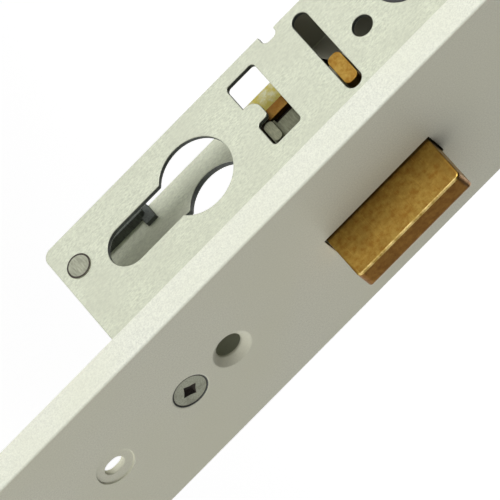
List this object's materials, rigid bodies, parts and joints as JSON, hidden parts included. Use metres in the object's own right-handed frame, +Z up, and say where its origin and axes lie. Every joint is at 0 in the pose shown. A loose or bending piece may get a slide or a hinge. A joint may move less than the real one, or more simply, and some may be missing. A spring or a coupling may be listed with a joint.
{
  "type": "mortice lock",
  "caption": "Euro-profile mortice lock: flat plate case behind a wide channel forend, with a sliding brass deadbolt, a sprung latch and a handle follower.",
  "frame": {"origin": "Centre of the forend's front face, at the height of the cylinder axis.", "axes": "+X out of the forend's face, the way the bolts are thrown; +Z up along the forend; the cover plate is on the -Y side."},
  "size_m": [0.0585, 0.043, 0.242],
  "materials": {
    "white_paint": "satin off-white stoving paint",
    "zinc_plate": "bright zinc plate",
    "steel_block": "zinc-plated steel",
    "screw_steel": "zinc-plated steel",
    "rivet_steel": "plain steel",
    "brass": "cast brass, dull",
    "steel": "plain steel",
    "spring_steel": "drawn wire",
    "cast_zinc": "die-cast zinc",
    "nylon": "moulded nylon"
  },
  "bodies": {
    "case": {"case_plate": "zinc_plate", "cover_plate": "zinc_plate", "follower_bush_far": "nylon", "follower_bush_near": "nylon", "follower_spring": "spring_steel", "follower_stop_pin": "rivet_steel", "forend": "white_paint", "forend_screws": "screw_steel", "latch_guide": "steel_block", "latch_spring": "spring_steel", "lower_fixing_block": "steel_block", "spacer_rivets": "rivet_steel", "upper_fixing_block": "steel_block"},
    "deadbolt": {"deadbolt": "brass", "detent_pivot_pin": "steel", "detent_spring": "spring_steel"},
    "detent": {"detent_lever": "steel", "detent_stud": "steel"},
    "follower": {"follower": "cast_zinc"},
    "latch": {"latch_bolt": "brass", "latch_tail": "steel", "latch_pin": "steel"}
  },
  "joints": [
    {"name": "deadbolt_slide", "type": "slide", "parent": "case", "child": "deadbolt", "axis": [-1, 0, 0], "range_m": [0, 0.0125]},
    {"name": "detent_lift", "type": "hinge", "parent": "deadbolt", "child": "detent", "pos_m": [-0.0082, 0, 0.0196], "axis": [0, 1, 0], "range_deg": [0, 10.5], "stiffness_Nm_per_rad": 0.03, "springref_deg": -8.59, "deforming": ["detent_spring"]},
    {"name": "follower_turn", "type": "hinge", "parent": "case", "child": "follower", "pos_m": [-0.0325, 0, 0.06], "axis": [0, -1, 0], "range_deg": [0, 35], "stiffness_Nm_per_rad": 0.67, "springref_deg": -18.91, "deforming": ["follower_spring"]},
    {"name": "latch_slide", "type": "slide", "parent": "case", "child": "latch", "axis": [-1, 0, 0], "range_m": [0, 0.0102], "deforming": ["latch_spring"]}
  ],
  "couplings": [
    {"joint": "latch_slide", "follows": "follower_turn", "m_per_rad": 0.016697}
  ]
}
